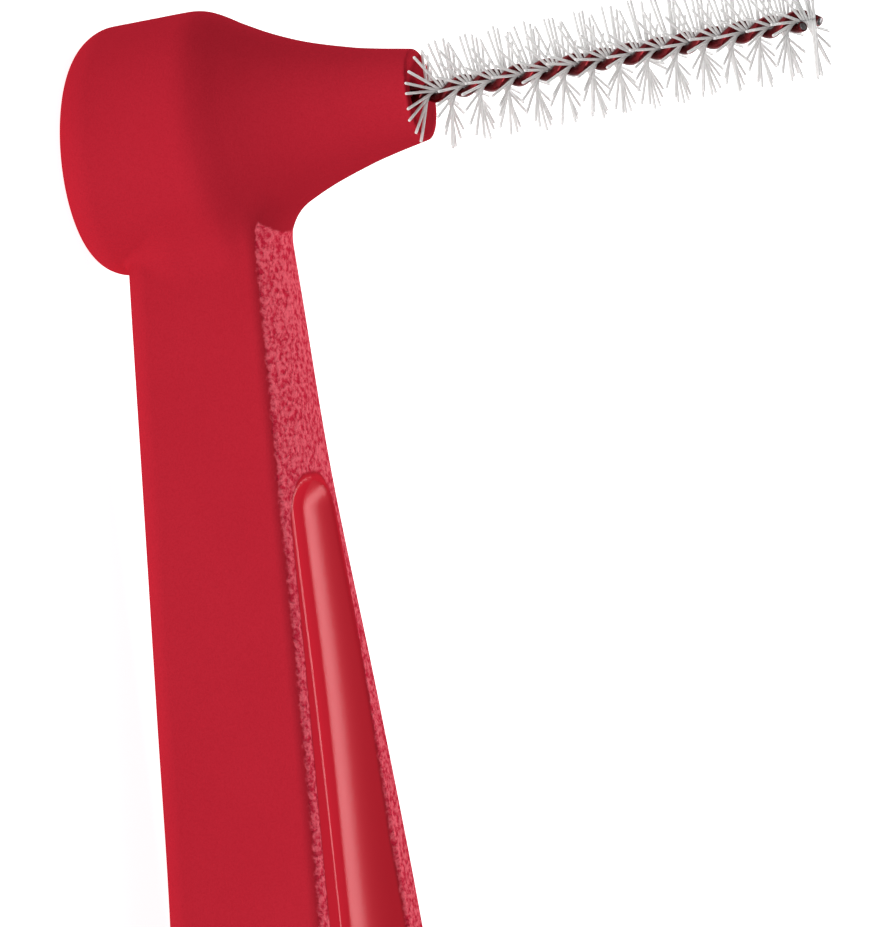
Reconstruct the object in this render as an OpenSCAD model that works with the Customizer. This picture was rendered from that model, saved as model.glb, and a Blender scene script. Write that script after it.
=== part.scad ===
// Angled interdental brush. A one-piece moulded handle lies on its back along X, with its head at
// the +X end. A wire twisted from two coated strands stands up out of the head along Z, and clamps
// the nylon filaments between its strands.
// All lengths are in millimetres. The origin is on the table, under the middle of the handle.

/* [Handle] */
// Overall length, from the tail to the far side of the head
overall_len = 145; // [130:1:160]
// Width of the grip
grip_w = 12.4; // [10:0.1:14]
// Thickness of the grip
grip_t = 5; // [4.2:0.1:6]
// Length of the neck, from the brush axis down to the full grip
neck_len = 47; // [42:1:56]
// Length over which the tail rounds off
tail_len = 20; // [14:1:28]
// Radius of the moulding's front edges
front_edge_r = 0.3; // [0.15:0.05:0.6]
// Radius of the moulding's back edges
back_edge_r = 0.55; // [0.3:0.05:1.1]
// Height by which the front face is crowned
front_crown = 0.12; // [0:0.02:0.3]

/* [Thumb trough] */
// Distance from the brush axis to the top of the trough
trough_start = 8.3; // [7.5:0.1:12]
// Distance from the brush axis to the lower end of the trough
trough_end = 76; // [55:1:90]
// Width of the trough between its lips, on the grip
trough_w = 7.2; // [5:0.1:8]
// Depth of the trough on the grip
trough_depth = 0.9; // [0.3:0.05:1.4]

/* [Head] */
// Diameter of the drum
drum_d = 5.94; // [5.2:0.02:6.6]
// Lean of the brush away from square to the handle, in degrees
brush_tilt = 5.1; // [0:0.1:10]
// Height of the brush axis's foot above the drum's flat back
cap_depth = 2.32; // [2:0.02:3]
// Radius of the drum's rounded back edge
cap_edge_r = 0.92; // [0.4:0.02:1.2]
// Distance from the foot of the brush axis to the nozzle's end
nozzle_reach = 6.08; // [5:0.02:8]
// Outer diameter of the nozzle's end
nozzle_d = 2.18; // [1.8:0.02:2.8]
// Width of the nozzle's rim round the dish
rim_w = 0.11; // [0.06:0.01:0.2]
// Depth of the dish round the wire
dish_depth = 0.2; // [0.1:0.05:0.6]
// Radius of the fillet between the cone and the neck
chin_r = 2.1; // [1:0.1:2.6]

/* [Wire] */
// Diameter of a strand's steel core
core_d = 0.19; // [0.14:0.01:0.24]
// Thickness of the coating on a strand
coat_t = 0.025; // [0.015:0.005:0.04]
// Length of wire in half a turn of the twist
half_turn = 0.7; // [0.66:0.02:0.9]
// Bare tip of the longer strand, beyond the last filaments
wire_tip = 0.05; // [0.02:0.01:0.3]
// Length by which the other strand is cut shorter
strand_step = 0.36; // [0.1:0.02:0.6]
// Length of wire moulded into the head
wire_in = 6.4; // [4:0.1:7]

/* [Filaments] */
// Thickness of a filament
filament_d = 0.066; // [0.05:0.002:0.08]
// Radius of the trimmed brush
brush_r = 1.3; // [1:0.05:1.8]
// Distance by which the trimmed outline sits to the handle's side of the wire
trim_offset = 0.07; // [0:0.01:0.15]
// Number of filaments in a bundle, one bundle to each half turn
bundle_filaments = 12; // [9:1:14]
// Largest lean of a filament from square to the wire, in degrees
filament_lean = 4; // [0:0.5:5]
// Largest change of a filament's length, as a share of it
trim_spread = 0.04; // [0:0.01:0.08]

/* [Hidden] */
// Clearance between pieces that are moulded, coated or clamped on each other
fit_gap = 0.012;
// Length by which a cutter runs past the face that it cuts
overrun = 1;
// Faces of a turned surface, and the steps of its rounded back edge
turned_faces = 72;
back_edge_steps = 8;
// Faces of a strand's coating outside, and of its core
coat_faces = 8;
core_faces = 6;
// Steps of the twist in half a turn
twist_steps = 4;
// Faces of a filament, and of the layer's slice
filament_faces = 3;
layer_faces = 4;

// Angle of the filaments at the nozzle's end, counted from +X towards +Y
nozzle_phase = 15;
// Clear length between the nozzle's end and the first bundle
bundle_start = 0.14;

// Places down the neck, as shares of its length, and what the section measures there:
// [place, width, front height, back height], in shares of the grip's width and thickness
neck_shares = [
    [0.000, 0.205, 0.878, 0.212],
    [0.040, 0.230, 0.885, 0.212],
    [0.085, 0.268, 0.902, 0.214],
    [0.173, 0.341, 0.938, 0.222],
    [0.287, 0.484, 1.008, 0.252],
    [0.402, 0.629, 1.066, 0.282],
    [0.510, 0.765, 1.090, 0.268],
    [0.640, 0.888, 1.078, 0.175],
    [0.770, 0.962, 1.045, 0.076],
    [0.890, 0.992, 1.012, 0.014],
    [1.000, 1.000, 1.000, 0.000]];
// The same for the tail: [place, width, front height, back height], with places as shares of tail_len
tail_shares = [
    [0.000, 1.000, 1.000, 0.000],
    [0.250, 0.987, 0.985, 0.000],
    [0.500, 0.925, 0.940, 0.000],
    [0.680, 0.825, 0.890, 0.020],
    [0.800, 0.712, 0.845, 0.050],
    [0.890, 0.577, 0.800, 0.090],
    [0.945, 0.445, 0.755, 0.145],
    [0.975, 0.327, 0.715, 0.195],
    [0.992, 0.209, 0.675, 0.235],
    [1.000, 0.080, 0.640, 0.270]];
// The trough down the neck: [place as a share of neck_len, width, depth] in shares of its full size
trough_shares = [
    [0.17, 0.40, 0.40],
    [0.29, 0.555, 0.58],
    [0.40, 0.695, 0.82],
    [0.62, 0.90, 0.96],
    [0.85, 1.00, 1.00],
    [1.00, 1.00, 1.00]];
// Points across the front face, as shares of the half width that the trough takes up
across_shares = [-1, -0.86, -0.64, -0.34, 0, 0.34, 0.64, 0.86, 1];
// The flare from the drum to the nozzle: [share of nozzle_reach, share of the fall in radius left]
flare_shares = [
    [0.148, 1.000], [0.191, 0.968], [0.240, 0.888], [0.316, 0.734], [0.372, 0.622], [0.431, 0.521],
    [0.500, 0.420], [0.571, 0.335], [0.660, 0.240], [0.752, 0.160], [0.852, 0.085], [0.930, 0.034],
    [0.982, 0.008]];
// Rings of the moulding in each stretch of the handle
neck_rings = 24;
swell_rings = 9;
grip_rings = 9;
trough_end_rings = 8;

drum_r = drum_d / 2;
nozzle_r = nozzle_d / 2;
head_top = drum_r * cos(brush_tilt) + flare_shares[0][0] * nozzle_reach * sin(brush_tilt);
head_x = overall_len / 2 - head_top;
handle_reach = overall_len - head_top;
neck_top = drum_r / 3;
seen_neck = neck_len * 0.47;

// A strand's coated diameter, the thickness of the filament layer between the strands, and how far
// a strand's centre lies from the wire's axis
coated_d = core_d + 2 * coat_t;
layer_t = filament_d * 0.7;
strand_offset = (coated_d + layer_t) / 2 + fit_gap;
strand_lean = atan(2 * PI * strand_offset / (2 * half_turn));
bore_r = strand_offset + coated_d / 2 + fit_gap;

// Bundles along the wire, and the reach of both strands beyond the nozzle's end
bundle_count = 14;
wire_reach_b = bundle_start + bundle_count * half_turn + wire_tip;
wire_reach_a = wire_reach_b - strand_step;

handle_red = "#B82433";
coating_red = "#6E0D18";
steel = "#A7A9AB";
nylon = "#ECEAE6";

// Value of one column of a table at a place, on a smooth curve through the table's rows
function row_below(table, place) = max([0, for (i = [0 : len(table) - 2]) if (table[i][0] <= place) i]);
function slope(table, i, column) =
    let (a = max(i - 1, 0), b = min(i + 1, len(table) - 1))
    (table[b][column] - table[a][column]) / (table[b][0] - table[a][0]);
function on_curve(table, place, column) =
    let (i = row_below(table, place),
         span = table[i + 1][0] - table[i][0],
         t = min(max((place - table[i][0]) / span, 0), 1))
    (2 * t^3 - 3 * t^2 + 1) * table[i][column] + (t^3 - 2 * t^2 + t) * span * slope(table, i, column)
    + (3 * t^2 - 2 * t^3) * table[i + 1][column] + (t^3 - t^2) * span * slope(table, i + 1, column);

// The handle's section at a distance down from the brush axis
tail_top = handle_reach - tail_len;
function section_share(down, column) =
    down > tail_top
        ? on_curve(tail_shares, (down - tail_top) / tail_len, column)
        : on_curve(neck_shares, min(down / neck_len, 1), column);
function half_width(down) = grip_w * section_share(down, 1) / 2;
function front_z(down) = grip_t * section_share(down, 2);
function back_z(down) = grip_t * section_share(down, 3);

// The trough's half width and depth, and how far it cuts the front face at a point
function trough_side(down) = trough_w * on_curve(trough_shares, min(down / neck_len, 1), 1) / 2;
function trough_end_inset(down) =
    max(trough_start + trough_side(down) - down, down - trough_end + trough_side(down), 0);
function trough_cut(down, y) =
    let (q = (y^2 + trough_end_inset(down)^2) / trough_side(down)^2)
    q < 1 ? trough_depth * on_curve(trough_shares, min(down / neck_len, 1), 2) * (1 - q) : 0;

// Points of a rounded corner, from one angle to another
function corner(y, z, r, from, to) =
    [for (i = [0 : 3]) let (a = from + (to - from) * i / 3) [y + r * cos(a), z + r * sin(a)]];

// One ring of the moulding, in order round its section, at a distance down from the brush axis
function ring(down) =
    let (w = half_width(down),
         top = front_z(down),
         low = back_z(down),
         fr = min(front_edge_r, (top - low) / 5, w / 2),
         br = min(back_edge_r, (top - low) / 3, w / 2),
         flat_w = w - fr,
         inner_w = min(trough_side(down), flat_w * 0.92))
    [for (p = concat(
        [for (s = across_shares) let (y = s * inner_w)
            [y, top + front_crown * (1 - (y / flat_w)^2) - trough_cut(down, y)]],
        corner(w - fr, top - fr, fr, 90, 0),
        corner(w - br, low + br, br, 0, -90),
        [[0, low]],
        corner(br - w, low + br, br, -90, -180),
        corner(fr - w, top - fr, fr, 180, 90)))
        [head_x - down, p[0], p[1]]];

// A closed solid through rings of equal point counts, with triangles for its faces
module loft(rings) {
    n = len(rings[0]);
    last = len(rings) - 1;
    points = [for (r = rings) each r];
    walls = [for (i = [0 : last - 1], j = [0 : n - 1])
        let (a = i * n + j, b = i * n + (j + 1) % n)
        each [[a, b + n, b], [a, a + n, b + n]]];
    start_cap = [for (j = [1 : n - 2]) [0, j, j + 1]];
    end_cap = [for (j = [1 : n - 2]) [last * n, last * n + j + 1, last * n + j]];
    polyhedron(points = points, faces = concat(walls, start_cap, end_cap));
}

// Neck, grip and tail in one body, with the trough sunk in its front
module neck_and_grip() {
    trough_round = trough_w / 2;
    places = concat(
        [for (i = [0 : neck_rings - 1]) neck_top + (seen_neck - neck_top) * i / neck_rings],
        [for (i = [0 : swell_rings - 1]) seen_neck + (neck_len - seen_neck) * i / swell_rings],
        [for (i = [0 : grip_rings - 1])
            neck_len + (trough_end - trough_round - neck_len) * i / grip_rings],
        [for (i = [0 : trough_end_rings - 1])
            trough_end - trough_round * cos(90 * i / (trough_end_rings - 1))],
        [for (i = [1 : grip_rings]) trough_end + (tail_top - trough_end) * i / grip_rings],
        [for (i = [1 : len(tail_shares) - 1]) tail_top + tail_len * tail_shares[i][0]]);
    loft([for (down = places) ring(down)]);
}

// Places its children on the brush axis, with Z along the wire
module on_brush_axis() {
    translate([head_x, 0, cap_depth])
        rotate([0, brush_tilt, 0])
            children();
}

// Drum with its rounded back edge, flared cone, and nozzle with the dish in its end
module drum_cone_and_nozzle() {
    back_z = (drum_r - cap_edge_r) * tan(brush_tilt) - cap_depth / cos(brush_tilt);
    back_edge = [for (i = [0 : back_edge_steps]) let (a = 90 * i / back_edge_steps)
        [drum_r - cap_edge_r * (1 - sin(a)), back_z + cap_edge_r * (1 - cos(a))]];
    flare = [for (p = flare_shares) [nozzle_r + (drum_r - nozzle_r) * p[1], nozzle_reach * p[0]]];
    dish_r = nozzle_r - rim_w;
    on_brush_axis()
        rotate_extrude($fn = turned_faces)
            polygon(concat([[0, back_z]], back_edge, flare,
                [[nozzle_r, nozzle_reach - rim_w / 2],
                 [nozzle_r - rim_w / 3, nozzle_reach],
                 [dish_r, nozzle_reach],
                 [dish_r - rim_w, nozzle_reach - dish_depth * 0.6],
                 [dish_r / 2, nozzle_reach - dish_depth],
                 [0, nozzle_reach - dish_depth]]));
}

// Web that fills the corner under the cone, down to the front of the neck
module chin() {
    neck_front = front_z(drum_r) - cap_depth;
    foot = drum_r * 1.14;
    arc = [for (i = [0 : 8]) let (a = 180 - 64 * i / 8)
        [neck_front + chin_r * (1 + cos(a)), chin_r * sin(a) - foot]];
    web_w = half_width(drum_r) * 1.3;
    translate([head_x, web_w / 2, cap_depth])
        rotate([90, 0, 0])
            linear_extrude(web_w)
                polygon(concat(
                    [[-foot, neck_front - front_edge_r]],
                    [for (p = arc) [p[1], p[0]]],
                    [[-drum_r / 3, arc[8][0]], [-drum_r / 3, neck_front - front_edge_r]]));
}

// Bore that the handle's plastic leaves round the buried end of the wire
module wire_bore() {
    bore_end = nozzle_reach - wire_in - fit_gap;
    translate([0, 0, bore_end])
        cylinder(h = wire_in + overrun, r = bore_r, $fn = turned_faces);
}

module handle() {
    color(handle_red)
        difference() {
            union() {
                neck_and_grip();
                drum_cone_and_nozzle();
                chin();
            }
            on_brush_axis() wire_bore();
        }
}

// A strand's section, drawn across the wire: stretched round the axis because the strand leans
module strand_section(r, faces) {
    translate([0, strand_offset])
        scale([1 / cos(strand_lean), 1])
            rotate(180 / faces)
                circle(r = r, $fn = faces);
}

// Twists its children along the wire, from its buried end to a reach beyond the nozzle's end
module twisted(reach, turn) {
    wire_len = wire_in + reach;
    translate([0, 0, nozzle_reach - wire_in])
        rotate(nozzle_phase + 180 * wire_in / half_turn + turn)
            linear_extrude(wire_len, twist = 180 * wire_len / half_turn,
                           slices = round(twist_steps * wire_len / half_turn))
                children();
}

module strand_core(reach, turn) {
    color(steel)
        on_brush_axis() twisted(reach, turn) strand_section(core_d / 2, core_faces);
}

module strand_coating(reach, turn) {
    color(coating_red)
        on_brush_axis() twisted(reach, turn)
            difference() {
                strand_section(coated_d / 2, coat_faces);
                strand_section(core_d / 2 + fit_gap / 3, core_faces);
            }
}

module wire_core_a() strand_core(wire_reach_a, 0);
module wire_core_b() strand_core(wire_reach_b, 180);
module wire_coating_a() strand_coating(wire_reach_a, 0);
module wire_coating_b() strand_coating(wire_reach_b, 180);

// Trimmed radius of the brush in a direction counted from +X, and a steady spread of small changes
function trimmed_r(angle) = brush_r - trim_offset * cos(angle);
function spread(n) = sin(137.5 * n);

// One filament, clamped at its middle and trimmed at both ends
module filament(turn, lean, trim) {
    near = trimmed_r(turn) * trim;
    far = trimmed_r(turn + 180) * trim;
    rotate(turn) rotate([0, 90 + lean, 0])
        translate([0, 0, -far])
            cylinder(h = far + near, d = filament_d, $fn = filament_faces);
}

// One bundle: the filaments in half a turn, fused to a slice of the layer between the strands
module bundle(k) {
    slice_len = half_turn - fit_gap;
    slice_z = nozzle_reach + bundle_start + k * half_turn;
    slice_turn = nozzle_phase - 180 * (slice_z - nozzle_reach) / half_turn;
    color(nylon)
        on_brush_axis() translate([0, 0, slice_z]) {
            cylinder(h = slice_len, d = layer_t, $fn = layer_faces);
            for (i = [0 : bundle_filaments - 1]) {
                z = slice_len * (i + 0.5) / bundle_filaments;
                n = k * bundle_filaments + i;
                translate([0, 0, z])
                    filament(slice_turn - 180 * z / half_turn, filament_lean * spread(2 * n + 1),
                             1 + trim_spread * spread(n));
            }
        }
}

module filaments_01() bundle(0);
module filaments_02() bundle(1);
module filaments_03() bundle(2);
module filaments_04() bundle(3);
module filaments_05() bundle(4);
module filaments_06() bundle(5);
module filaments_07() bundle(6);
module filaments_08() bundle(7);
module filaments_09() bundle(8);
module filaments_10() bundle(9);
module filaments_11() bundle(10);
module filaments_12() bundle(11);
module filaments_13() bundle(12);
module filaments_14() bundle(13);

handle();
wire_core_a();
wire_core_b();
wire_coating_a();
wire_coating_b();
filaments_01();
filaments_02();
filaments_03();
filaments_04();
filaments_05();
filaments_06();
filaments_07();
filaments_08();
filaments_09();
filaments_10();
filaments_11();
filaments_12();
filaments_13();
filaments_14();
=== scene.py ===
import math

import bpy
import numpy as np
from mathutils import Matrix, Vector


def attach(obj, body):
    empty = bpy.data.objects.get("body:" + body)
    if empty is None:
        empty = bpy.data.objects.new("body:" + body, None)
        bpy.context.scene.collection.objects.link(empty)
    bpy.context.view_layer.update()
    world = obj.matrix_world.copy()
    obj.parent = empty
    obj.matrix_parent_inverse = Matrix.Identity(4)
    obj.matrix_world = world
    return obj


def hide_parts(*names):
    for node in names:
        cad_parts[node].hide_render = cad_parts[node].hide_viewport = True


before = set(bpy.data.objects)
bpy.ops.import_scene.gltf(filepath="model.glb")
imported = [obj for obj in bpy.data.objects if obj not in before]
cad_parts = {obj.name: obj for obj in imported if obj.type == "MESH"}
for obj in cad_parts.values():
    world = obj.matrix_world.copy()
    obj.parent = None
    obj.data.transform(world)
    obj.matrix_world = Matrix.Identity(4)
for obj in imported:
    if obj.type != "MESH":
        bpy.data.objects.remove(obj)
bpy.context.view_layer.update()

MM = 0.001


# Handle: one injection moulding in red plastic, an angled head with a drum, cone and nozzle that
# flows into the neck, and a flat grip with a sunk thumb trough. The tool leaves its sides satin,
# its front face spark-eroded round the trough, and the trough's floor polished.
HANDLE_LENGTH = 145.0
DRUM_R = 2.965
DRUM_HEIGHT = 0.9
BRUSH_TILT = math.radians(5.1)
AXIS_FOOT_Z = 2.32
AXIS_X = HANDLE_LENGTH / 2 - DRUM_R * math.cos(BRUSH_TILT) - DRUM_HEIGHT * math.sin(BRUSH_TILT)
BACK_EDGE_R = 0.92
NOZZLE_REACH = 6.08
NOZZLE_R = 1.09
NOZZLE_EDGE_R = 0.045
DISH_R = 0.97
DISH_DEPTH = 0.14
ROOT_R = 0.42
ROOT_FLOOR_R = 0.2
ROOT_DEPTH = 0.22
PROFILE_SAMPLES = 600
HEAD_PROFILE = np.array([
    (-4.0, 2.965), (-1.0, 2.965), (0.0, 2.965), (0.62, 2.965), (0.90, 2.955), (1.16, 2.90), (1.46, 2.76),
    (1.92, 2.48), (2.62, 2.105), (3.47, 1.745), (4.57, 1.41), (5.18, 1.27), (5.89, 1.135), (6.08, 1.10),
    (6.60, 1.04)])

GRIP_W = 12.4
GRIP_T = 5.0
NECK_LENGTH = 47.0
TAIL_LENGTH = 20.0
TAIL_TOP = HANDLE_LENGTH / 2 + AXIS_X - TAIL_LENGTH
FRONT_EDGE_R = 0.3
SIDE_BACK_EDGE_R = 0.55
THICKNESS_PER_EDGE_R = 2.2
FRONT_CROWN = 0.12
GRIP_START = 1.0
TAIL_END_R = 0.7
NECK_SECTIONS = np.array([
    (0.000, 0.205, 0.878, 0.212), (0.040, 0.230, 0.885, 0.212), (0.085, 0.268, 0.902, 0.214),
    (0.173, 0.341, 0.938, 0.222), (0.287, 0.484, 1.008, 0.252), (0.402, 0.629, 1.066, 0.282),
    (0.510, 0.765, 1.090, 0.268), (0.640, 0.888, 1.078, 0.175), (0.770, 0.962, 1.045, 0.076),
    (0.890, 0.992, 1.012, 0.014), (1.000, 1.000, 1.000, 0.000)])
TAIL_SECTIONS = np.array([
    (0.000, 1.000, 1.000, 0.000), (0.250, 0.987, 0.985, 0.000), (0.500, 0.925, 0.940, 0.000),
    (0.680, 0.825, 0.890, 0.020), (0.800, 0.712, 0.845, 0.050), (0.890, 0.577, 0.800, 0.090),
    (0.945, 0.445, 0.755, 0.145), (0.975, 0.327, 0.715, 0.195), (0.992, 0.209, 0.675, 0.235),
    (1.000, 0.080, 0.640, 0.270)])

TROUGH_TOP = 8.3
TROUGH_FOOT = 76.0
TROUGH_END_R = 0.75
TROUGH_HALF_W = 3.6
TROUGH_DEPTH = 0.9
TROUGH_LIP = 0.08
TROUGH_REACH_CAP = 3
LIP_BEAD = 0.017
LIP_BEAD_HALF_W = 0.085
TROUGH_SECTIONS = np.array([
    (0.17, 0.40, 0.40), (0.29, 0.555, 0.58), (0.40, 0.695, 0.82), (0.62, 0.90, 0.96),
    (0.85, 1.00, 1.00), (1.00, 1.00, 1.00)])


def on_curve(table, place, column):
    """Value of a table's column at each place, on a smooth curve through its rows."""
    place = np.asarray(place, float)
    rows = np.clip(np.searchsorted(table[:, 0], place, side="right") - 1, 0, len(table) - 2)
    before = np.maximum(np.arange(len(table)) - 1, 0)
    after = np.minimum(np.arange(len(table)) + 1, len(table) - 1)
    slopes = (table[after, column] - table[before, column]) / (table[after, 0] - table[before, 0])
    span = table[rows + 1, 0] - table[rows, 0]
    t = np.clip((place - table[rows, 0]) / span, 0, 1)
    return ((2 * t**3 - 3 * t**2 + 1) * table[rows, column]
            + (t**3 - 2 * t**2 + t) * span * slopes[rows]
            + (3 * t**2 - 2 * t**3) * table[rows + 1, column]
            + (t**3 - t**2) * span * slopes[rows + 1])


def section_share(down, column):
    """Share of the grip's size: column 1 for its width, 2 for its front and 3 for its back."""
    return np.where(down > TAIL_TOP,
                    on_curve(TAIL_SECTIONS, (down - TAIL_TOP) / TAIL_LENGTH, column),
                    on_curve(NECK_SECTIONS, np.minimum(down / NECK_LENGTH, 1), column))


def smooth_step(low, high, value):
    """0 up to the low value and 1 from the high one, with a smooth rise between."""
    t = np.clip((value - low) / (high - low), 0, 1)
    return t * t * (3 - 2 * t)


def rounded_meet(a, b, r):
    """Distance to where two bodies overlap, with the edge between them rounded."""
    return (np.minimum(np.maximum(a, b) + r, 0)
            + np.hypot(np.maximum(a + r, 0), np.maximum(b + r, 0)) - r)


def soft_join(a, b, reach):
    """Distance to two bodies together, with the corner between them filled."""
    overlap = np.maximum(reach - np.abs(a - b), 0) / reach
    return np.minimum(a, b) - overlap * overlap * reach / 4


def trough_half_width(down):
    return TROUGH_HALF_W * on_curve(TROUGH_SECTIONS, np.minimum(down / NECK_LENGTH, 1), 1)


def trough_bowl(down, across):
    """Share of the trough's depth at a place: 1 in the middle, 0 on the lip, negative outside."""
    half_w = trough_half_width(down)
    top_inset = np.maximum(TROUGH_TOP + TROUGH_END_R - down, 0) / TROUGH_END_R
    foot_inset = np.maximum(down - TROUGH_FOOT + half_w, 0) / half_w
    reach = np.hypot(across / half_w, np.maximum(top_inset, foot_inset))
    return 1 - np.minimum(reach, TROUGH_REACH_CAP) ** 2


def lip_distance(down, across):
    """About how far a place lies inside the trough's lip, in mm."""
    return trough_bowl(down, across) / 2 * trough_half_width(down)


def trough_sink(down, across):
    """Depth of the trough at a place: a rounded lip, then a rounded floor."""
    depth = TROUGH_DEPTH * on_curve(TROUGH_SECTIONS, np.minimum(down / NECK_LENGTH, 1), 2)
    bowl = trough_bowl(down, across)
    return depth * (bowl + np.hypot(bowl, TROUGH_LIP)) / 2


def grip_distance(x, y, z):
    """Distance to the neck, grip and tail: negative inside, as in all these functions."""
    down = AXIS_X - x
    half_w = GRIP_W * section_share(down, 1) / 2
    front = GRIP_T * section_share(down, 2)
    back = GRIP_T * section_share(down, 3)
    flat_w = half_w - FRONT_EDGE_R
    crown = FRONT_CROWN * (1 - np.clip(y / flat_w, -1, 1) ** 2)
    bead = LIP_BEAD * np.exp(-(lip_distance(down, y) / LIP_BEAD_HALF_W) ** 2)
    front = front + crown + bead - trough_sink(down, y)
    edge_r = np.where(z > (front + back) / 2, FRONT_EDGE_R, SIDE_BACK_EDGE_R)
    edge_r = np.minimum(edge_r, (front - back) / THICKNESS_PER_EDGE_R)
    side = np.abs(y) - half_w
    face = np.maximum(z - front, back - z)
    body = rounded_meet(side, face, edge_r)
    tail_end = -HANDLE_LENGTH / 2 - x
    return np.maximum(rounded_meet(body, tail_end, TAIL_END_R), GRIP_START - down)


def head_distance(x, y, z):
    """Distance to the drum, cone and nozzle, turned about the brush axis."""
    along = x - AXIS_X
    up = z - AXIS_FOOT_Z
    local_x = along * math.cos(BRUSH_TILT) - up * math.sin(BRUSH_TILT)
    reach = along * math.sin(BRUSH_TILT) + up * math.cos(BRUSH_TILT)
    out = np.hypot(local_x, y)
    places = np.linspace(HEAD_PROFILE[0, 0], HEAD_PROFILE[-1, 0], PROFILE_SAMPLES)
    radii = on_curve(HEAD_PROFILE, places, 1)
    slopes = np.gradient(radii, places)
    wall = (out - np.interp(reach, places, radii)) / np.sqrt(1 + np.interp(reach, places, slopes) ** 2)
    dish = DISH_DEPTH * np.clip(1 - (out / DISH_R) ** 3, 0, 1)
    root = ROOT_DEPTH * smooth_step(ROOT_R, ROOT_FLOOR_R, out)
    end = reach - NOZZLE_REACH + (dish + root)
    return rounded_meet(rounded_meet(wall, -z, BACK_EDGE_R), end, NOZZLE_EDGE_R)


# The fillet where the grip meets the head: it grows up the sides, shrinks over the front face and
# grows again in the front's middle. Each pair is where such a change starts and ends.
FILLET_LOW = 0.15
FILLET_SIDE_GAIN = 0.75
FILLET_SIDE_RISE = (1.2, 2.4)
FILLET_FRONT_LOSS = 0.5
FILLET_FRONT_RISE = (3.6, 4.6)
FILLET_MIDDLE_GAIN = 0.22
FILLET_MIDDLE_FADE = (0.7, 1.6)


def handle_distance(x, y, z):
    """Distance to the whole moulding."""
    up_side = smooth_step(*FILLET_SIDE_RISE, z)
    on_front = smooth_step(*FILLET_FRONT_RISE, z)
    in_middle = 1 - smooth_step(*FILLET_MIDDLE_FADE, np.abs(y))
    fillet = FILLET_LOW + FILLET_SIDE_GAIN * up_side * (1 - FILLET_FRONT_LOSS * on_front)
    fillet = fillet + FILLET_MIDDLE_GAIN * on_front * in_middle
    return soft_join(grip_distance(x, y, z), head_distance(x, y, z), fillet)


# The mesh's lanes run along the trough's lip and the front edge, and are straight at the head.
LANES_OPEN = (5.0, 8.0)
FRONT_LANE_AT_HEAD = 2.4
LEAST_LANE_GAP = 0.5


def fanned(x, lane):
    """Place across the handle of a lane: lane 1 is the trough's lip and lane 2 the front edge."""
    down = AXIS_X - x
    lip = np.where(down > TROUGH_TOP, trough_half_width(np.maximum(down, TROUGH_TOP)),
                   trough_half_width(TROUGH_TOP))
    front_edge = GRIP_W * section_share(down, 1) / 2 - FRONT_EDGE_R / 2
    share = smooth_step(*LANES_OPEN, down)
    front_edge = front_edge * share + FRONT_LANE_AT_HEAD * (1 - share)
    front_edge = np.maximum(front_edge, lip + LEAST_LANE_GAP)
    size = np.abs(lane)
    place = np.where(size < 1, size * lip,
                     np.where(size < 2, lip + (size - 1) * (front_edge - lip), front_edge + size - 2))
    return np.sign(lane) * place


def stretches(*parts):
    """Grid lines from stretches of (start, step), up to a last place."""
    lines = []
    for (start, step), (stop, _) in zip(parts, parts[1:]):
        count = max(int(round((stop - start) / step)), 1)
        lines.append(np.linspace(start, stop, count, endpoint=False))
    return np.concatenate(lines + [[parts[-1][0]]])


# How points are brought onto the surface: the probe for its slope and the longest step in mm, the
# least slopes that a step trusts, how many steps are taken, and how far points are evened out.
PROBE = 0.002
LONGEST_STEP = 0.1
LEAST_STEEPNESS = 0.2
LEAST_RISE = 0.3
STEPS_BETWEEN = 2
STEPS_AFTER = 4
ROW_STEPS = 8
EVEN_OUT_SHARE = 0.5
CORNERS = [(i, j, k) for i in (0, 1) for j in (0, 1) for k in (0, 1)]


def crossed_cells(inside):
    """Cells of the grid that the surface crosses, and each cell's number in that list."""
    some = np.zeros(tuple(n - 1 for n in inside.shape), bool)
    every = np.ones_like(some)
    for i, j, k in CORNERS:
        part = inside[i:i + some.shape[0], j:j + some.shape[1], k:k + some.shape[2]]
        some |= part
        every &= part
    cells = np.argwhere(some & ~every)
    number = np.full(some.shape, -1, np.int64)
    number[tuple(cells.T)] = np.arange(len(cells))
    return cells, number


def crossing_points(grid, cells, axes):
    """One point for each cell, in the middle of the crossings on the cell's edges."""
    total = np.zeros((len(cells), 3))
    hits = np.zeros(len(cells))
    for a in CORNERS:
        for b in CORNERS:
            if sum(b) - sum(a) != 1 or any(q < p for p, q in zip(a, b)):
                continue
            ia, ib = cells + a, cells + b
            fa, fb = grid[tuple(ia.T)], grid[tuple(ib.T)]
            cross = (fa < 0) != (fb < 0)
            t = np.where(cross, fa / np.where(cross, fa - fb, 1), 0)
            for n, line in enumerate(axes):
                total[:, n] += np.where(cross, line[ia[:, n]] * (1 - t) + line[ib[:, n]] * t, 0)
            hits += cross
    return total / hits[:, None]


def quads_round_edges(inside, number):
    """A face through the four cells round each grid edge that the surface crosses."""
    quads = []
    for n in range(3):
        first = [slice(1, -1)] * 3
        first[n] = slice(0, -1)
        second = list(first)
        second[n] = slice(1, None)
        at = np.argwhere(inside[tuple(first)] != inside[tuple(second)])
        start = at + [0 if m == n else 1 for m in range(3)]
        step_p, step_q = [np.eye(3, dtype=int)[m] for m in range(3) if m != n]
        ring = [start - step_p - step_q, start - step_q, start, start - step_p]
        quad = np.stack([number[tuple(r.T)] for r in ring], 1)
        flip = inside[tuple(first)][tuple(at.T)] ^ (n != 1)
        quad[flip] = quad[flip][:, ::-1]
        quads.append(quad)
    return np.concatenate(quads)


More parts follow.
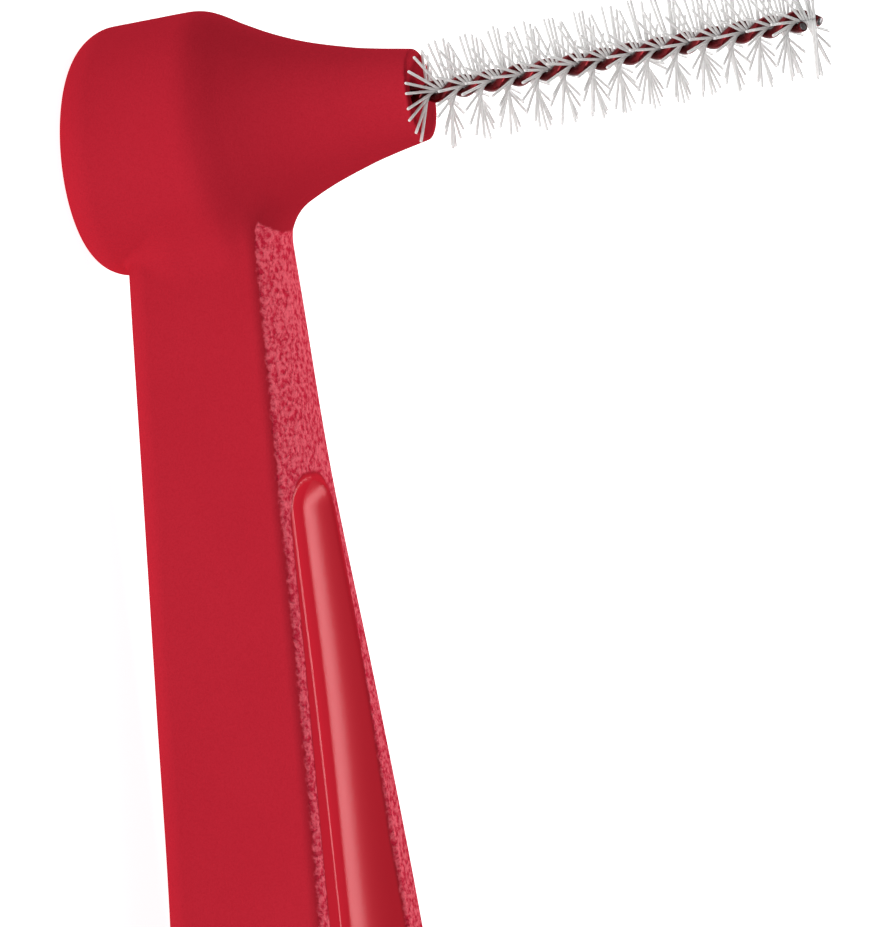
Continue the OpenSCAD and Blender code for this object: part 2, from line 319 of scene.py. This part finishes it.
def settled(distance, points, steps):
    """Points brought onto the surface by steps along its slope, and the slope at each."""
    for _ in range(steps):
        x, y, z = points.T
        slope = np.stack([distance(x + PROBE, y, z) - distance(x - PROBE, y, z),
                          distance(x, y + PROBE, z) - distance(x, y - PROBE, z),
                          distance(x, y, z + PROBE) - distance(x, y, z - PROBE)], 1) / (2 * PROBE)
        steepness = np.maximum((slope * slope).sum(1), LEAST_STEEPNESS)
        step = distance(x, y, z)[:, None] * slope / steepness[:, None]
        points = points - np.clip(step, -LONGEST_STEP, LONGEST_STEP)
    return points, slope


def evened_out(distance, points, quads, rounds):
    """Points on the surface, each moved towards the middle of its neighbours, and the slopes."""
    edges = np.concatenate([quads[:, [0, 1]], quads[:, [1, 2]], quads[:, [2, 3]], quads[:, [3, 0]]])
    ends = np.concatenate([edges[:, 0], edges[:, 1]])
    others = np.concatenate([edges[:, 1], edges[:, 0]])
    touching = np.bincount(ends, minlength=len(points))
    for _ in range(rounds):
        points, _ = settled(distance, points, STEPS_BETWEEN)
        mean = np.stack([np.bincount(ends, points[others, n], len(points)) for n in range(3)], 1)
        points += EVEN_OUT_SHARE * (mean / touching[:, None] - points)
    return settled(distance, points, STEPS_AFTER)


def in_a_row(distance, x, y, z):
    """Points moved straight up or down onto the surface."""
    for _ in range(ROW_STEPS):
        rise = (distance(x, y, z + PROBE) - distance(x, y, z - PROBE)) / (2 * PROBE)
        step = distance(x, y, z) / np.maximum(rise, LEAST_RISE)
        z = z - np.clip(step, -LONGEST_STEP, LONGEST_STEP)
    return np.stack([x, y, z], 1)


def skin_of(distance, xs, lanes, zs, rounds, level):
    """Points, faces and normals on a body's surface: one point in each cell that it crosses.

    Where level says so, the points stand in straight rows and lanes, one to each crossing.
    """
    grid = np.broadcast_to(distance(xs[:, None, None], fanned(xs[:, None], lanes[None, :])[:, :, None],
                                    zs[None, None, :]), (len(xs), len(lanes), len(zs)))
    inside = grid < 0
    cells, number = crossed_cells(inside)
    points = crossing_points(grid, cells, (xs, lanes, zs))
    points[:, 1] = fanned(points[:, 0], points[:, 1])
    quads = quads_round_edges(inside, number)
    points, slope = evened_out(distance, points, quads, rounds)
    row, lane, _ = cells.T
    row_x, lane_at = (xs[row] + xs[row + 1]) / 2, (lanes[lane] + lanes[lane + 1]) / 2
    flat = level(row_x, lane_at, slope[:, 2])
    points[flat] = in_a_row(distance, row_x[flat], fanned(row_x[flat], lane_at[flat]), points[flat, 2])
    own = np.where(flat, row * len(lanes) + lane, len(xs) * len(lanes) + np.arange(len(points)))
    _, first, merged = np.unique(own, return_index=True, return_inverse=True)
    points, slope = settled(distance, points[first], 1)
    points[:, 2] = np.maximum(points[:, 2], 0)
    normals = slope / np.linalg.norm(slope, axis=1)[:, None]
    faces = [[v for n, v in enumerate(q) if v != q[n - 1]] for q in merged[quads].tolist()]
    return points, [f for f in faces if len(f) > 2], normals


# The front face is laid out in rows: off its edges, below the head and above the tail's end.
ROWS_OUTER_LANE = 1.9
ROWS_LEAST_RISE = 0.5
ROWS_TOP = 7.4
ROWS_FOOT = TAIL_TOP + 0.8 * TAIL_LENGTH


def on_front_face(x, lane, rise):
    """Whether a point stands on the part of the front face that is laid out in rows."""
    down = AXIS_X - x
    return ((np.abs(lane) < ROWS_OUTER_LANE) & (rise > ROWS_LEAST_RISE)
            & (down > ROWS_TOP) & (down < ROWS_FOOT))


def new_piece(name, points, faces, material):
    """Object from points in millimetres, which rides on the part's one body."""
    mesh = bpy.data.meshes.new(name)
    mesh.from_pydata((np.asarray(points) * MM).tolist(), [], [list(map(int, f)) for f in faces])
    mesh.validate()
    mesh.update()
    mesh.shade_smooth()
    mesh.materials.append(material)
    piece = bpy.data.objects.new(name, mesh)
    bpy.context.scene.collection.objects.link(piece)
    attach(piece, "root")
    return piece


def srgb(r, g, b):
    """Linear colour of an sRGB colour given from 0 to 255."""
    values = [c / 255 for c in (r, g, b)]
    return tuple(c / 12.92 if c <= 0.04045 else ((c + 0.055) / 1.055) ** 2.4 for c in values) + (1,)


class Shader:
    """A new node material: its Principled shader, and short ways to add and join nodes."""

    def __init__(self, name):
        self.material = bpy.data.materials.new(name)
        self.material.use_nodes = True
        self.tree = self.material.node_tree
        self.shader = self.tree.nodes["Principled BSDF"]

    def add(self, kind, inputs=None, **settings):
        node = self.tree.nodes.new("ShaderNode" + kind)
        for key, value in settings.items():
            setattr(node, key, value)
        for key, value in (inputs or {}).items():
            self.join(value, node.inputs[key])
        return node

    def join(self, value, socket):
        if isinstance(value, bpy.types.NodeSocket):
            self.tree.links.new(value, socket)
        else:
            socket.default_value = value

    def set(self, **inputs):
        for key, value in inputs.items():
            self.join(value, self.shader.inputs[key.replace("_", " ")])

    def zone(self, name):
        return self.add("Attribute", attribute_name=name).outputs["Fac"]

    def math(self, operation, *values):
        node = self.add("Math", operation=operation)
        for socket, value in zip(node.inputs, values):
            self.join(value, socket)
        return node.outputs[0]

    def plus(self, a, b):
        return self.math("ADD", a, b)

    def times(self, a, b):
        return self.math("MULTIPLY", a, b)

    def ramp(self, value, low, high, out_low=0.0, out_high=1.0):
        node = self.add("MapRange", {0: value, 1: low, 2: high, 3: out_low, 4: out_high})
        node.interpolation_type = "SMOOTHSTEP"
        return node.outputs[0]

    def mix(self, share, a, b):
        node = self.add("Mix", data_type="RGBA")
        for socket, value in ((node.inputs[0], share), (node.inputs[6], a), (node.inputs[7], b)):
            self.join(value, socket)
        return node.outputs[2]

    def place(self):
        return self.add("TexCoord").outputs["Object"]

    def noise(self, place, size_mm, detail=2.0, roughness=0.5):
        node = self.add("TexNoise", {"Vector": place, "Scale": 1 / (size_mm * MM), "Detail": detail,
                                     "Roughness": roughness})
        return node.outputs["Fac"]

    def bump(self, height, distance_mm, below=None):
        node = self.add("Bump", {"Height": height, "Distance": distance_mm * MM, "Strength": 1.0})
        if below is not None:
            self.join(below, node.inputs["Normal"])
        return node.outputs["Normal"]


# The red plastic's finishes, with sizes in mm. The satin's speckle darkens the red a little. The eroded
# grain's colours are painted light: painted highlights on its tops and painted shade in its hollows, and
# the whole zone is painted brighter than the satin for the light its rough surface scatters. The smooth
# panel round the trough is painted brighter than the satin, as painted light on the trough's floor and a
# painted red glow round its highlight. Each border is where a zone of the finish starts and is full, in
# mm inside the zone's edge. Each range is the part of a noise over which something goes from none to all.
SATIN_RED = srgb(184, 38, 53)
SATIN_RED_DRIFT = srgb(179, 35, 50)
SATIN_RED_DEEP = srgb(162, 22, 38)
PANEL_RED_WITH_PAINTED_LIGHT = srgb(215, 38, 55)
GRAIN_PAINTED_HIGHLIGHT = srgb(255, 106, 122)
GRAIN_PAINTED_SHADE = srgb(212, 40, 66)
NOISE_RANGE = (0.3, 0.7)
SPECKLE_RANGE = (0.35, 0.75)
GRAIN_RANGE = (0.34, 0.64)
DRIFT_SIZE = 6.0
SATIN_SIZE = 0.045
SATIN_SPECKLE = 0.25
SATIN_HEIGHT = 0.006
SATIN_ROUGH = (0.56, 0.66)
GRAIN_SIZE = 0.13
GRAIN_LONG_WAY = 0.6
FINE_GRAIN_SIZE = 0.06
FINE_GRAIN_SHARE = 0.4
GRAIN_HEIGHT = 0.09
GRAIN_MIDDLE = 0.7
GRAIN_ROUGH = 0.55
GRAIN_BORDER = (-0.03, 0.05)
BARE_BORDER = (-0.02, 0.1)
POLISH_BORDER = (-0.03, 0.06)
RAGGED_SIZE = 0.16
RAGGED_REACH = 0.16
POLISHED_ROUGH = 0.34
POLISHED_DEPTH = 0.06
POLISHED_GLOSS = 0.14
POLISHED_GLOSS_ROUGH = 0.2

plastic = Shader("red_moulded_plastic")
spot = plastic.place()
grain_zone = plastic.zone("grain_zone")
bare_zone = plastic.zone("bare_zone")
polish_zone = plastic.zone("polish_zone")
ragged = plastic.times(plastic.math("SUBTRACT", plastic.noise(spot, RAGGED_SIZE, 3), 0.5), RAGGED_REACH)
grain = plastic.ramp(plastic.plus(grain_zone, ragged), *GRAIN_BORDER)
polish = plastic.ramp(polish_zone, *POLISH_BORDER)
not_grain = plastic.math("SUBTRACT", 1.0, grain)
not_polished = plastic.math("SUBTRACT", 1.0, polish)

stretched = plastic.add("VectorMath", {0: spot, 1: (1.0, GRAIN_LONG_WAY, 1.0)}, operation="MULTIPLY")
grain_spot = stretched.outputs[0]
eroded = plastic.noise(grain_spot, GRAIN_SIZE, 2.5, 0.6)
eroded_fine = plastic.noise(grain_spot, FINE_GRAIN_SIZE, 1.0)
satin = plastic.noise(spot, SATIN_SIZE)
drift = plastic.noise(spot, DRIFT_SIZE, 3.0)

body_colour = plastic.mix(plastic.ramp(drift, *NOISE_RANGE), SATIN_RED, SATIN_RED_DRIFT)
speckle = plastic.ramp(satin, *SPECKLE_RANGE, 0.0, SATIN_SPECKLE)
body_colour = plastic.mix(speckle, body_colour, SATIN_RED_DEEP)
# The smooth panel round the trough is painted brighter: painted light on the trough's floor and a painted
# red glow round its highlight.
body_colour = plastic.mix(plastic.ramp(bare_zone, *BARE_BORDER), body_colour, PANEL_RED_WITH_PAINTED_LIGHT)
# Painted highlights on the grain's tops and painted shade in its hollows, brighter overall than the
# satin.
grain_painted_light = plastic.mix(plastic.ramp(eroded, *GRAIN_RANGE), GRAIN_PAINTED_SHADE, GRAIN_PAINTED_HIGHLIGHT)

satin_rough = plastic.ramp(satin, *NOISE_RANGE, *SATIN_ROUGH)
rough = plastic.plus(plastic.times(satin_rough, not_polished), plastic.times(polish, POLISHED_ROUGH))
rough = plastic.plus(plastic.times(rough, not_grain), plastic.times(grain, GRAIN_ROUGH))
satin_bump = plastic.bump(plastic.times(satin, not_polished), SATIN_HEIGHT)
eroded_both = plastic.plus(eroded, plastic.times(eroded_fine, FINE_GRAIN_SHARE))
grain_height = plastic.times(plastic.math("SUBTRACT", eroded_both, GRAIN_MIDDLE), grain)

plastic.set(Base_Color=plastic.mix(grain, body_colour, grain_painted_light),
            Roughness=rough, IOR=1.5, Specular_IOR_Level=0.0,
            Metallic=plastic.times(polish, POLISHED_DEPTH),
            Coat_Weight=plastic.times(polish, POLISHED_GLOSS), Coat_Roughness=POLISHED_GLOSS_ROUGH,
            Normal=plastic.bump(grain_height, GRAIN_HEIGHT, satin_bump))

# Grid lines along, across and up, in (start, step): fine at the head, the tail, the lip and the edges.
EVEN_OUT_ROUNDS = 3
xs = stretches((-72.6, 0.2), (-66.0, 0.7), (-8.5, 0.16), (-2.0, 0.7), (47.6, 0.16), (59.3, 0.07),
               (61.6, 0.12), (66.3, 0.08), (68.85, 0.045), (71.2, 0.08), (72.6, 0.08))
half_lanes = stretches((0.02, 0.06), (0.74, 0.022), (1.1, 0.08), (1.8, 0.04), (2.3, 0.09), (3.0, 0.12),
                       (4.2, 0.1))
lanes = np.concatenate([-half_lanes[::-1], half_lanes])
zs = stretches((-0.05, 0.1), (4.0, 0.08), (7.9, 0.035), (8.6, 0.035))
handle_points, handle_faces, handle_normals = skin_of(handle_distance, xs, lanes, zs,
                                                       EVEN_OUT_ROUNDS, on_front_face)
handle = new_piece("handle_moulding", handle_points, handle_faces, plastic.material)
handle.data.normals_split_custom_set_from_vertices(handle_normals.tolist())
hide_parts("handle")

# Zones of the finish, each a distance in mm inside its border. The bare zone is the smooth panel with
# the trough in it. It narrows towards the head, and lies a little nearer to one side below there. The
# grain covers the rest of what faces the front. The polish is on the trough's floor beyond its middle
# and on the bead along the lip before it, with a dull band between them.
POLISHED_TOP = 8.15
POLISHED_FOOT = TROUGH_FOOT + 0.9
POLISHED_CORNER_R = 1.3
POLISHED_HALF_W = 1.6
POLISHED_SPREAD = 0.118
POLISHED_MARGIN = 0.75
SHIFT_START = 8.0
SHIFT_PER_MM = 0.05
MOST_SHIFT = 0.45
SHIFT_FADE = (25, 45)
LEAST_FACING = 0.33
FACING_REACH = 0.6
GRAIN_OFF_EDGE = 0.35
GRAIN_TOP = 2.42
GRAIN_TOP_BOW = 0.3
GRAIN_TOP_HALF_W = 1.4
POLISHED_BEAD = 0.13
POLISH_OFF_LIP = 0.06
POLISH_PAST_MIDDLE = 0.05
POLISH_SOFTNESS = 2

down = AXIS_X - handle_points[:, 0]
side = handle_points[:, 1]
across = np.abs(side)
edge = GRIP_W * section_share(down, 1) / 2 - FRONT_EDGE_R * GRAIN_OFF_EDGE - across
polished_half = np.minimum(POLISHED_HALF_W + POLISHED_SPREAD * (down - POLISHED_TOP),
                           TROUGH_HALF_W + POLISHED_MARGIN)
corner_r = np.where(down < TROUGH_FOOT / 2, POLISHED_CORNER_R, polished_half)
end_inset = np.maximum(np.maximum(POLISHED_TOP - down, down - POLISHED_FOOT) + corner_r, 0)
shift = np.clip(SHIFT_PER_MM * (down - SHIFT_START), 0, MOST_SHIFT) * (1 - smooth_step(*SHIFT_FADE, down))
side_inset = np.maximum(np.abs(side - shift) - polished_half + corner_r, 0)
facing = (handle_normals[:, 2] - LEAST_FACING) * FACING_REACH
bare = np.minimum(corner_r - np.hypot(side_inset, end_inset), facing)
grain_top = down - GRAIN_TOP + GRAIN_TOP_BOW * np.clip(side / GRAIN_TOP_HALF_W, -1, 1) ** 2
grained = np.minimum(np.minimum(-bare, edge), np.minimum(facing, grain_top))
lip_inset = lip_distance(down, across)
bead_inset = np.where(side > 0, POLISHED_BEAD - np.abs(lip_inset), -1)
beyond_middle = (-side - POLISH_PAST_MIDDLE * trough_half_width(down)) / POLISH_SOFTNESS
floor_inset = np.minimum(lip_inset - POLISH_OFF_LIP, beyond_middle)
polished = np.minimum(bare, np.maximum(bead_inset, floor_inset))
for zone_name, values in (("grain_zone", grained), ("bare_zone", bare), ("polish_zone", polished)):
    zone = handle.data.attributes.new(zone_name, "FLOAT", "POINT")
    zone.data.foreach_set("value", values.astype(np.float32))


# Wire: two strands of stainless steel, each in a thin red polymer coating, twisted together to the
# left. Their lower ends are moulded into the head, and the cut ends at the tip show the bare steel.
CORE_D = 0.19
COATED_D = 0.24
FIT_GAP = 0.012
HALF_TURN = 0.70
FILAMENT_D = 0.07
FILAMENT_SQUEEZE = 0.7
STRAND_OFFSET = (COATED_D + FILAMENT_D * FILAMENT_SQUEEZE) / 2 + FIT_GAP
NOZZLE_PHASE = math.radians(15)
WIRE_IN_HEAD = 6.4
BUNDLE_START = 0.14
BUNDLE_COUNT = 14
TIP_BEYOND = 0.05
STRAND_STEP = 0.36
RINGS_PER_HALF_TURN = 24
CORE_SIDES = 16
COATING_SIDES = 24
COATING_CLEARANCE = FIT_GAP / 3
COATING_DARK = srgb(82, 1, 8)
COATING_BRIGHT = srgb(106, 3, 14)
COATING_ROUGH = (0.15, 0.22)
STREAK_SIZE = 0.2
STREAK_RANGE = (0.35, 0.7)
RIPPLE_SIZE = 0.06
RIPPLE_HEIGHT = 0.001
STEEL_DARK = srgb(92, 88, 90)
STEEL_BRIGHT = srgb(132, 128, 130)
STEEL_ROUGH = (0.25, 0.45)
SCUFF_SIZE = 0.03
SCUFF_HEIGHT = 0.003


def turn_at(reach):
    """Angle of the filaments, from +X towards +Y, at a distance up the brush axis."""
    return NOZZLE_PHASE - math.pi * (reach - NOZZLE_REACH) / HALF_TURN


def to_row(points):
    """Points on the brush axis's own frame, moved to the part's frame."""
    points = np.asarray(points, float)
    c, s = math.cos(BRUSH_TILT), math.sin(BRUSH_TILT)
    x, y, z = points[..., 0], points[..., 1], points[..., 2]
    return np.stack([AXIS_X + x * c + z * s, y, AXIS_FOOT_Z - x * s + z * c], -1)


NEARLY_PARALLEL = 0.1


def frames_along(path):
    """Two steady directions across a path at each of its points."""
    tangent = np.gradient(path, axis=0)
    tangent /= np.linalg.norm(tangent, axis=1)[:, None]
    start = np.cross(tangent[0], [0.3, 0.2, 0.9])
    if np.linalg.norm(start) < NEARLY_PARALLEL:
        start = np.cross(tangent[0], [1, 0, 0])
    one = [start / np.linalg.norm(start)]
    for t in tangent[1:]:
        side = one[-1] - t * np.dot(one[-1], t)
        one.append(side / np.linalg.norm(side))
    one = np.array(one)
    return one, np.cross(tangent, one)


def tube(path, radii, sides):
    """Points and faces of a closed round rod along a path."""
    one, two = frames_along(path)
    angles = np.arange(sides) * 2 * math.pi / sides
    ring = (np.cos(angles)[None, :, None] * one[:, None, :]
            + np.sin(angles)[None, :, None] * two[:, None, :])
    rings = path[:, None, :] + np.asarray(radii)[:, None, None] * ring
    count = len(path)
    faces = []
    for i in range(count - 1):
        for j in range(sides):
            k = (j + 1) % sides
            faces.append((i * sides + j, i * sides + k, (i + 1) * sides + k, (i + 1) * sides + j))
    faces.append(tuple(range(sides - 1, -1, -1)))
    faces.append(tuple((count - 1) * sides + j for j in range(sides)))
    return rings.reshape(-1, 3), faces


def strand_path(reach, turn):
    """Middle of a strand, from its end in the head to its tip at reach."""
    start = NOZZLE_REACH - WIRE_IN_HEAD
    count = int((reach - start) / HALF_TURN * RINGS_PER_HALF_TURN)
    z = np.linspace(start, reach, count)
    angle = turn_at(z) + math.pi / 2 + turn
    return to_row(np.stack([STRAND_OFFSET * np.cos(angle), STRAND_OFFSET * np.sin(angle), z], 1))


def sleeve(path, outer, inner, sides):
    """Points and faces of a pipe along a path, open through its middle."""
    points_out, faces = tube(path, [outer] * len(path), sides)
    points_in, _ = tube(path, [inner] * len(path), sides)
    walls = faces[:-2]
    base = len(points_out)
    last = (len(path) - 1) * sides
    result = walls + [tuple(base + v for v in reversed(f)) for f in walls]
    for j in range(sides):
        k = (j + 1) % sides
        result.append((k, j, base + j, base + k))
        result.append((last + j, last + k, base + last + k, base + last + j))
    return np.concatenate([points_out, points_in]), result


coating = Shader("red_wire_coating")
spot = coating.place()
streak = coating.noise(spot, STREAK_SIZE)
coating.set(Base_Color=coating.mix(coating.ramp(streak, *STREAK_RANGE), COATING_DARK, COATING_BRIGHT),
            Metallic=0.85, Roughness=coating.ramp(streak, *NOISE_RANGE, *COATING_ROUGH), IOR=1.5,
            Coat_Weight=0.15, Coat_Roughness=0.1,
            Normal=coating.bump(coating.noise(spot, RIPPLE_SIZE), RIPPLE_HEIGHT))

steel = Shader("cut_stainless_steel")
spot = steel.place()
scuff = steel.noise(spot, SCUFF_SIZE, 3.0)
steel.set(Base_Color=steel.mix(scuff, STEEL_DARK, STEEL_BRIGHT), Metallic=1.0,
          Roughness=steel.ramp(scuff, *NOISE_RANGE, *STEEL_ROUGH),
          Normal=steel.bump(scuff, SCUFF_HEIGHT))

reach_b = NOZZLE_REACH + BUNDLE_START + BUNDLE_COUNT * HALF_TURN + TIP_BEYOND
for letter, reach, turn in (("a", reach_b - STRAND_STEP, 0.0), ("b", reach_b, math.pi)):
    path = strand_path(reach, turn)
    points, faces = tube(path, [CORE_D / 2] * len(path), CORE_SIDES)
    core = new_piece(f"strand_{letter}_steel", points, faces, steel.material)
    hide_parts(f"wire_core_{letter}")
    points, faces = sleeve(path, COATED_D / 2, CORE_D / 2 + COATING_CLEARANCE, COATING_SIDES)
    jacket = new_piece(f"strand_{letter}_coating", points, faces, coating.material)
    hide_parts(f"wire_coating_{letter}")


# Filaments: straight clear-white nylon monofilament, clamped between the strands as they are
# twisted, so that each half turn holds one fan of them, and trimmed to a round brush.
BRUSH_R = 1.3
TRIM_OFFSET = 0.07
PER_BUNDLE = 12
FILAMENT_SIDES = 8
FILAMENT_RINGS = 12
FAN_LEAN = math.radians(11)
FLARE_AT_NOZZLE = math.radians(16.0)
FLARE_LENGTH = 0.8
FAN_LEAN_SHARE_BEHIND = 0.7
CLEAR_OF_NOZZLE = 0.05
TIP_ROUNDING = ((0.012, 0.82), (0.022, 0.4))
NYLON_DARK = srgb(214, 213, 212)
NYLON_BRIGHT = srgb(223, 222, 221)
NYLON_ROUGH = (0.34, 0.44)
CLOUD_SIZE = 0.12
CLOUD_HEIGHT = 0.002

# How far a filament strays from the formula: its place in the bundle's height and angle, its offset
# from the wire's middle, its lean, its length and its bow.
HEIGHT_STRAY = 0.15
ANGLE_STRAY = 3
OFFSET_STRAY = 0.008
LEAN_STRAY = 2.2
LENGTH_STRAY = (-0.05, 0.03)
BOW_STRAY = 0.03
STRAY_SEED = 5
SWING_PER_BOW = 0.5

nylon = Shader("clear_white_nylon")
spot = nylon.place()
cloud = nylon.noise(spot, CLOUD_SIZE)
nylon.set(Base_Color=nylon.mix(cloud, NYLON_DARK, NYLON_BRIGHT),
          Roughness=nylon.ramp(cloud, *NOISE_RANGE, *NYLON_ROUGH), IOR=1.53,
          Subsurface_Weight=0.8, Subsurface_Radius=(0.1, 0.1, 0.1), Subsurface_Scale=1.0 * MM,
          Normal=nylon.bump(cloud, CLOUD_HEIGHT))


def trimmed_tip(path):
    """A filament's path and radii with its cut end rounded."""
    out = path[-1] - path[-2]
    out /= np.linalg.norm(out)
    ends = [path[-1] + out * beyond for beyond, _ in TIP_ROUNDING]
    radii = [FILAMENT_D / 2] * len(path) + [FILAMENT_D / 2 * share for _, share in TIP_ROUNDING]
    return np.concatenate([path, ends]), np.array(radii)


draw = np.random.default_rng(STRAY_SEED)
for bundle in range(BUNDLE_COUNT):
    all_points, all_faces, filled = [], [], 0
    for n in range(PER_BUNDLE):
        height = (n + 0.5 + draw.uniform(-HEIGHT_STRAY, HEIGHT_STRAY)) / PER_BUNDLE
        from_nozzle = BUNDLE_START + (bundle + height) * HALF_TURN
        reach = NOZZLE_REACH + from_nozzle
        angle = turn_at(reach) + math.radians(draw.uniform(-ANGLE_STRAY, ANGLE_STRAY))
        offset = draw.uniform(-OFFSET_STRAY, OFFSET_STRAY)
        flare = FLARE_AT_NOZZLE * math.exp(-from_nozzle / FLARE_LENGTH)
        for out in (angle, angle + math.pi):
            behind = math.cos(out) > 0 and math.sin(out) < 0
            pull = abs(math.sin(out)) * FAN_LEAN_SHARE_BEHIND if behind else math.sin(out)
            lean = math.radians(draw.normal(0, LEAN_STRAY)) - flare - FAN_LEAN * pull
            lean = max(lean, -math.atan((from_nozzle - CLEAR_OF_NOZZLE) / NOZZLE_R))
            length = (BRUSH_R - TRIM_OFFSET * math.cos(out)) * (1 + draw.uniform(*LENGTH_STRAY))
            bow = draw.uniform(-BOW_STRAY, BOW_STRAY)
            t = np.linspace(0, 1, FILAMENT_RINGS)
            r = t * length * math.cos(lean)
            rise = t * length * math.sin(lean) + bow * t * t
            swing = bow * SWING_PER_BOW * t * t
            x = r * math.cos(out) - (offset + swing) * math.sin(out)
            y = r * math.sin(out) + (offset + swing) * math.cos(out)
            path, radii = trimmed_tip(to_row(np.stack([x, y, reach + rise], 1)))
            points, faces = tube(path, radii, FILAMENT_SIDES)
            all_points.append(points)
            all_faces += [tuple(v + filled for v in f) for f in faces]
            filled += len(points)
    piece = new_piece(f"bristle_{bundle + 1:02d}", np.concatenate(all_points), all_faces,
                      nylon.material)
    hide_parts(f"filaments_{bundle + 1:02d}")


# Studio: a plain white table under a white sky, with one softbox low on the camera's side. Another
# stands above and behind, and its reflection is the light band in the trough.
def studio_material(name, seen_as, glow_on_things, diffuse):
    """Matt white with a glow: one strength where it is seen, and another on what stands on it."""
    matt_white = Shader(name)
    nodes, links = matt_white.tree.nodes, matt_white.tree.links
    nodes.remove(matt_white.shader)
    rays = matt_white.add("LightPath").outputs
    seen = matt_white.math("MAXIMUM", rays["Is Camera Ray"], rays["Is Glossy Ray"])
    seen = matt_white.math("MAXIMUM", seen, rays["Is Transmission Ray"])
    strength = matt_white.add("MapRange", {0: seen, 3: glow_on_things, 4: seen_as}).outputs[0]
    glow = matt_white.add("Emission", {"Color": (1, 1, 1, 1), "Strength": strength})
    matt = matt_white.add("BsdfDiffuse", {"Color": (diffuse, diffuse, diffuse, 1)})
    both = matt_white.add("AddShader")
    links.new(glow.outputs[0], both.inputs[0])
    links.new(matt.outputs[0], both.inputs[1])
    links.new(both.outputs[0], nodes["Material Output"].inputs["Surface"])
    return matt_white.material


TABLE_HALF = 3
SKY_LIGHT = 0.24
table_mesh = bpy.data.meshes.new("table")
table_mesh.from_pydata([(-TABLE_HALF, -TABLE_HALF, 0), (TABLE_HALF, -TABLE_HALF, 0),
                        (TABLE_HALF, TABLE_HALF, 0), (-TABLE_HALF, TABLE_HALF, 0)], [], [(0, 1, 2, 3)])
table_mesh.materials.append(studio_material("white_table", seen_as=0.9, glow_on_things=0.8, diffuse=0.8))
table = bpy.data.objects.new("table", table_mesh)
bpy.context.scene.collection.objects.link(table)

world = bpy.data.worlds.new("studio")
bpy.context.scene.world = world
world.use_nodes = True
sky = world.node_tree.nodes["Background"]
sky.inputs["Color"].default_value = (1, 1, 1, 1)
sky.inputs["Strength"].default_value = SKY_LIGHT


def lamp(name, place, aim, size, watts):
    light = bpy.data.lights.new(name, "AREA")
    light.shape = "RECTANGLE"
    light.size, light.size_y = size
    light.energy = watts
    piece = bpy.data.objects.new(name, light)
    turned = (Vector(aim) - Vector(place)).to_track_quat("-Z", "Y").to_matrix().to_4x4()
    piece.matrix_world = Matrix.Translation(place) @ turned
    bpy.context.scene.collection.objects.link(piece)


lamp("camera_side_softbox", place=(-0.22, 0.6, 0.07), aim=(0.06, 0, 0.005), size=(0.5, 0.22), watts=2.45)
lamp("rear_softbox", place=(0.05, -0.515, 0.345), aim=(0.06, 0, 0.004), size=(0.8, 0.19), watts=4.1)

# Camera: square to the handle's side and 18 degrees above the table, rolled so that the head is up,
# and far enough away that there is almost no perspective.
PIXELS_PER_MM = 42
FRAME_PIXELS = (880, 927)
AXIS_FOOT_PIXEL = (182, 140)
VIEW_RISE = math.radians(18)
HANDLE_LEAN = math.radians(5.15)
CAMERA_DISTANCE = 450.0
SENSOR_W = 36
toward = Vector((0, math.cos(VIEW_RISE), math.sin(VIEW_RISE)))
square = Vector((0, -math.sin(VIEW_RISE), math.cos(VIEW_RISE)))
along = Vector((1, 0, 0))
right = math.cos(HANDLE_LEAN) * square - math.sin(HANDLE_LEAN) * along
above = math.cos(HANDLE_LEAN) * along + math.sin(HANDLE_LEAN) * square
centre = (Vector((AXIS_X, 0, AXIS_FOOT_Z))
          + right * (FRAME_PIXELS[0] / 2 - AXIS_FOOT_PIXEL[0]) / PIXELS_PER_MM
          - above * (FRAME_PIXELS[1] / 2 - AXIS_FOOT_PIXEL[1]) / PIXELS_PER_MM)
eye = (centre + toward * CAMERA_DISTANCE) * MM
camera = bpy.data.objects.new("camera", bpy.data.cameras.new("camera"))
camera.matrix_world = Matrix(((right.x, above.x, toward.x, eye.x),
                              (right.y, above.y, toward.y, eye.y),
                              (right.z, above.z, toward.z, eye.z),
                              (0, 0, 0, 1)))
camera.data.sensor_fit = "HORIZONTAL"
camera.data.sensor_width = SENSOR_W
camera.data.lens = SENSOR_W * CAMERA_DISTANCE / (FRAME_PIXELS[0] / PIXELS_PER_MM)
camera.data.clip_start = 0.05
camera.data.clip_end = 20
bpy.context.scene.collection.objects.link(camera)
bpy.context.scene.camera = camera

bpy.context.scene.view_settings.view_transform = "Standard"
